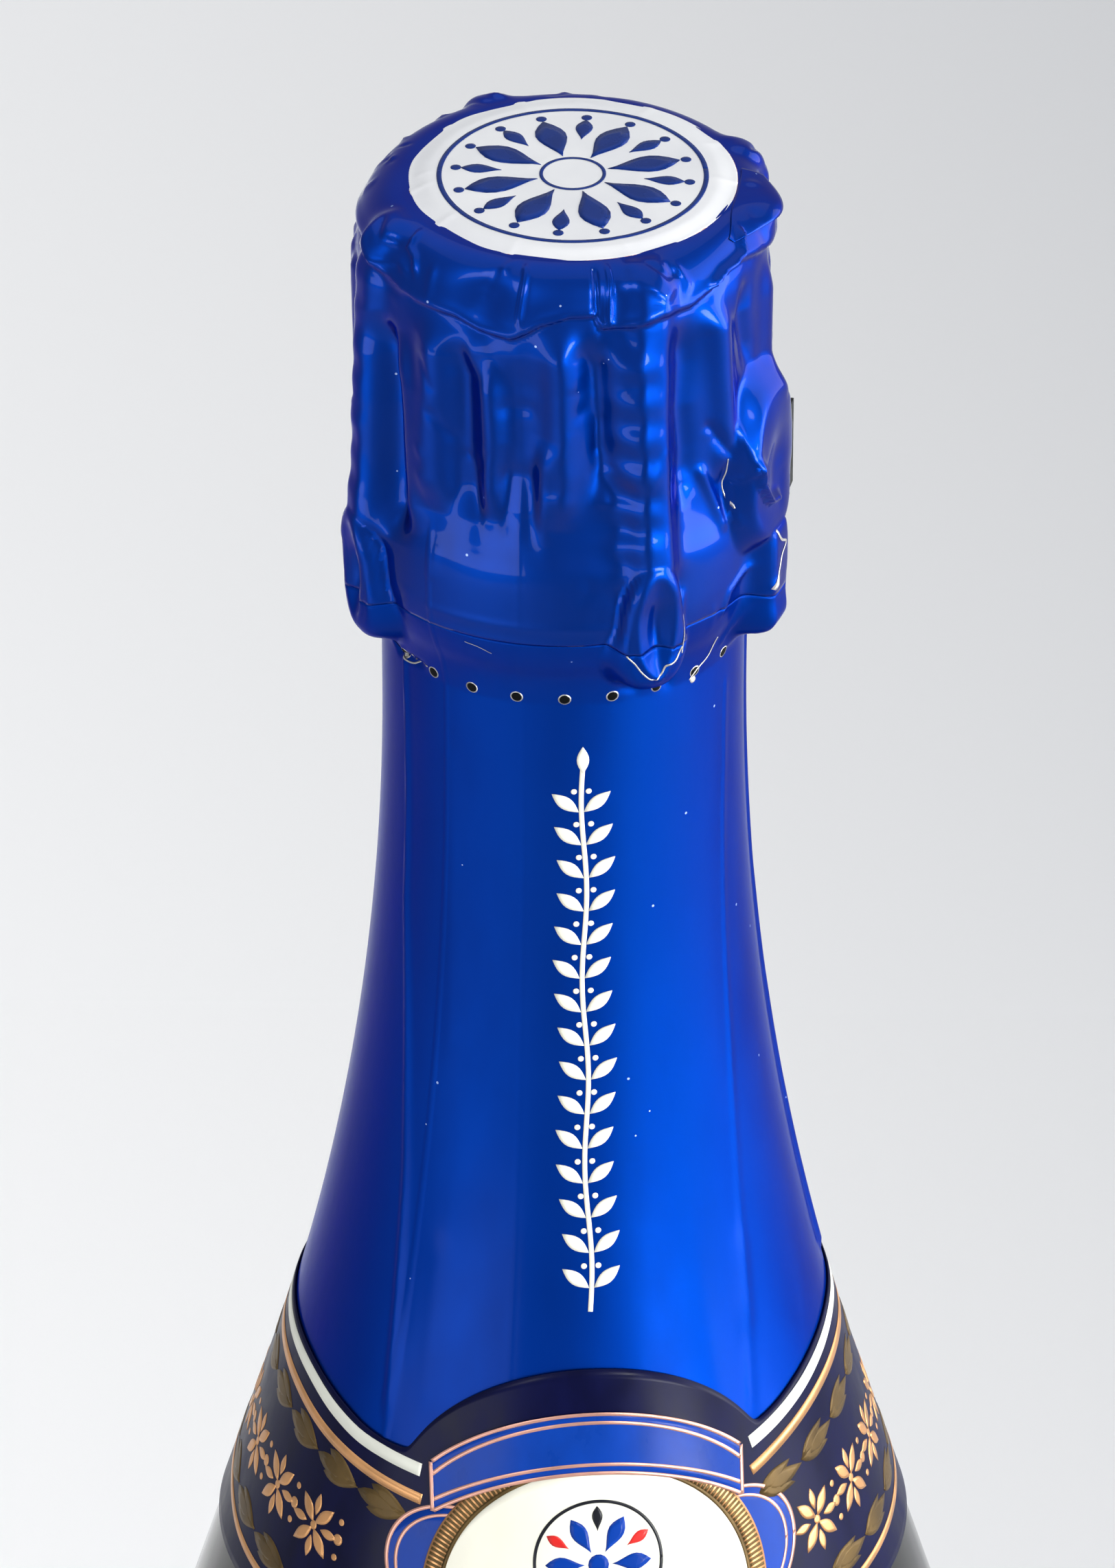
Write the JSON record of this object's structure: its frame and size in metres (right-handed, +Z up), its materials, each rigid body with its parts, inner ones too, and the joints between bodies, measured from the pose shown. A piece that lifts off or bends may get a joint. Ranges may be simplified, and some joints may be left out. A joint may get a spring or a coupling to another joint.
{
  "type": "champagne bottle",
  "caption": "Sealed sparkling wine bottle in green glass with sloping shoulders, blue neck foil, foil hood over a wired mushroom cork, and a collar label.",
  "frame": {"origin": "centre of the ring that the bottle stands on", "axes": "+Z up along the bottle's axis, -Y towards the middle of the front and collar labels"},
  "size_m": [0.0884, 0.0888, 0.3175],
  "materials": {
    "bottle_glass": "glossy dark green glass",
    "wine": "clear pale gold liquid",
    "neck_foil": "satin blue lacquered foil",
    "collar_label_paper": "coated navy label paper with gold and cream lines",
    "front_label_paper": "coated navy label paper with gold and cream lines",
    "back_label_paper": "uncoated cream label paper",
    "agglomerated_cork": "pressed cork granules",
    "natural_cork": "natural cork",
    "tinplate": "gold lacquered tinplate",
    "cage_wire": "galvanised wire",
    "hood_foil": "glossy crumpled blue foil",
    "hood_disc": "white printed foil disc",
    "tear_tape": "blue film tape",
    "tear_tab": "black film tab"
  },
  "bodies": {
    "bottle": {"glass_bottle": "bottle_glass", "wine": "wine", "neck_foil_sleeve": "neck_foil", "collar_label": "collar_label_paper", "front_label": "front_label_paper", "back_label": "back_label_paper"},
    "cork": {"cork_body": "agglomerated_cork", "cork_disc_upper": "natural_cork", "cork_disc_lower": "natural_cork"},
    "wire_cage": {"cage_cap_plate": "tinplate", "cage_top_ring": "cage_wire", "cage_leg_1": "cage_wire", "cage_leg_2": "cage_wire", "cage_leg_3": "cage_wire", "cage_leg_4": "cage_wire", "cage_belt_wire": "cage_wire", "cage_key": "cage_wire"},
    "foil_hood": {"foil_hood_skirt": "hood_foil", "foil_top_disc": "hood_disc", "foil_tear_tape": "tear_tape"},
    "tear_tab": {"tear_tab": "tear_tab"}
  },
  "joints": [
    {"name": "cork_pull", "type": "slide", "parent": "bottle", "child": "cork", "axis": [0, 0, 1], "range_m": [0, 0.04]},
    {"name": "cage_lift", "type": "slide", "parent": "cork", "child": "wire_cage", "axis": [0, 0, 1], "range_m": [0, 0.045], "deforming": ["cage_belt_wire"]},
    {"name": "hood_lift", "type": "slide", "parent": "wire_cage", "child": "foil_hood", "axis": [0, 0, 1], "range_m": [0, 0.045]},
    {"name": "tear_tab_swing", "type": "hinge", "parent": "foil_hood", "child": "tear_tab", "pos_m": [0.01801, -0.00126, 0.289], "axis": [0, 0, -1], "range_deg": [0, 110]}
  ]
}
